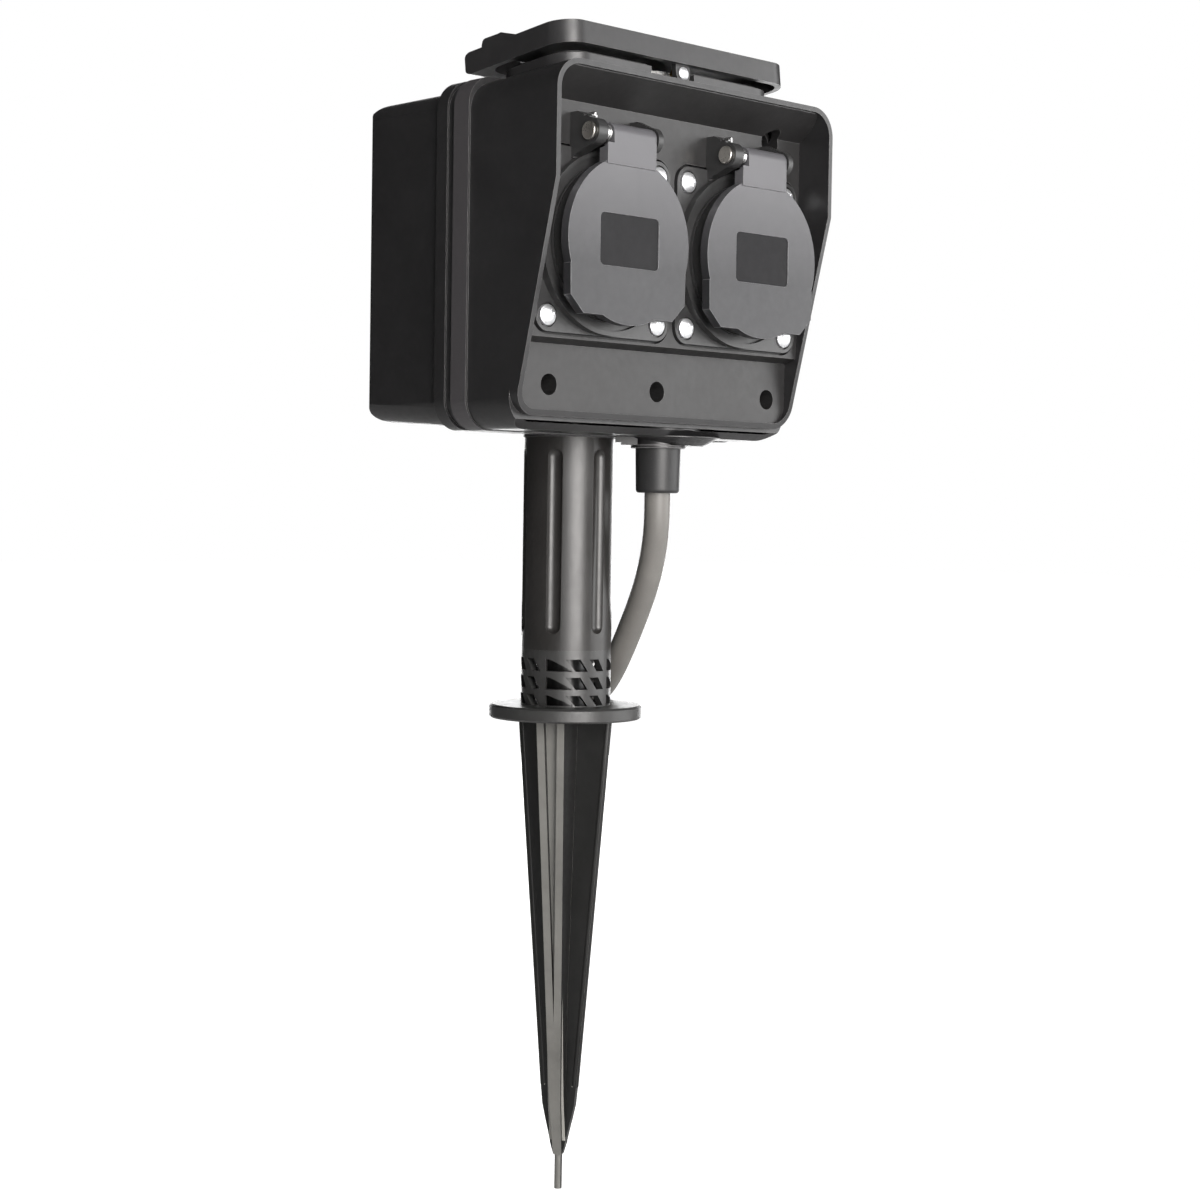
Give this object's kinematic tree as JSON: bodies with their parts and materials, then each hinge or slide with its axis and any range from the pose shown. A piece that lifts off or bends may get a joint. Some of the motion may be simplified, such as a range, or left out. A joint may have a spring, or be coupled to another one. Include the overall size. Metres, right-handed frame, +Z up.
{
  "type": "garden socket spike",
  "caption": "Hooded outdoor socket box on a fluted post with a ground flange and finned spike, sprung covers over recessed earthed sockets, a hinged control lid and a rubber lead with plug.",
  "frame": {"origin": "on the post axis at the underside of the ground flange, the plane that rests on the soil", "axes": "+X right along the sockets, -Y the front with the sockets, +Z up the post"},
  "size_m": [0.1988, 0.2067, 0.3666],
  "materials": {
    "case_plastic": "fine-grained satin",
    "lid_plastic": "fine-grained satin",
    "post_plastic": "satin",
    "socket_plastic": "smooth",
    "flap_plastic": "satin",
    "knob_plastic": "smooth",
    "lens_plastic": "clear",
    "terminal_plastic": "smooth",
    "tie_plastic": "smooth",
    "relay_blue": "smooth",
    "board_green": "lacquered",
    "wire_brown": "smooth",
    "wire_blue": "smooth",
    "wire_green": "smooth",
    "seal_rubber": "matt",
    "flap_rubber": "matt",
    "cord_rubber": "matt",
    "zinc": "bright zinc",
    "pin_steel": "turned",
    "spring_steel": "drawn wire",
    "nickel": "nickel-plated",
    "contact_brass": "stamped"
  },
  "bodies": {
    "housing": {"front_shell": "case_plastic", "socket_wall": "case_plastic", "lid_frame": "case_plastic", "rear_shell": "case_plastic", "housing_seal": "seal_rubber", "housing_screws": "zinc", "left_frame": "socket_plastic", "right_frame": "socket_plastic", "left_gasket": "seal_rubber", "right_gasket": "seal_rubber", "flange_screws": "zinc", "left_insert": "socket_plastic", "right_insert": "socket_plastic", "left_earth_clips": "nickel", "right_earth_clips": "nickel", "left_contacts": "contact_brass", "right_contacts": "contact_brass", "contact_screws": "zinc", "left_hinge_pin": "pin_steel", "right_hinge_pin": "pin_steel", "left_spring": "spring_steel", "right_spring": "spring_steel", "lid_hinge_pin": "pin_steel", "lid_seal": "seal_rubber", "control_panel": "socket_plastic", "status_lens": "lens_plastic", "control_board": "board_green", "relay": "relay_blue", "terminal_block": "terminal_plastic", "terminal_screws": "zinc", "wire_live": "wire_brown", "wire_neutral": "wire_blue", "wire_earth": "wire_green", "gland_body": "case_plastic", "gland_nut": "case_plastic", "gland_sleeve": "seal_rubber", "cable_hook": "socket_plastic", "cable_clamp": "socket_plastic", "clamp_screws": "zinc", "cable_inner": "cord_rubber", "post_tube": "post_plastic", "post_nut": "case_plastic", "ground_collar": "post_plastic", "spike": "post_plastic", "cord_lead": "cord_rubber", "cord_hank": "cord_rubber", "cord_tail": "cord_rubber", "cord_ties": "tie_plastic", "plug_boot": "cord_rubber", "plug_body": "cord_rubber", "plug_pins": "nickel", "plug_earth_strips": "nickel"},
    "left_flap_body": {"left_flap": "flap_plastic", "left_flap_seal": "flap_rubber"},
    "right_flap_body": {"right_flap": "flap_plastic", "right_flap_seal": "flap_rubber"},
    "lid_body": {"top_lid": "lid_plastic", "lid_screw": "zinc", "lid_screw_nut": "contact_brass"},
    "dial_body": {"control_knob": "knob_plastic"}
  },
  "joints": [
    {"name": "left_flap_hinge", "type": "hinge", "parent": "housing", "child": "left_flap_body", "pos_m": [-0.029, -0.054, 0.1782], "axis": [-1, 0, 0], "range_deg": [0, 110], "stiffness_Nm_per_rad": 0.02, "springref_deg": -34.38},
    {"name": "right_flap_hinge", "type": "hinge", "parent": "housing", "child": "right_flap_body", "pos_m": [0.029, -0.054, 0.1782], "axis": [-1, 0, 0], "range_deg": [0, 110], "stiffness_Nm_per_rad": 0.02, "springref_deg": -34.38},
    {"name": "lid_hinge", "type": "hinge", "parent": "housing", "child": "lid_body", "pos_m": [0, -0.0054, 0.2036], "axis": [-1, 0, 0], "range_deg": [0, 100]},
    {"name": "dial_turn", "type": "hinge", "parent": "housing", "child": "dial_body", "pos_m": [0.004, -0.0296, 0.201], "axis": [0, 0, 1], "range_deg": [0, 300]}
  ]
}
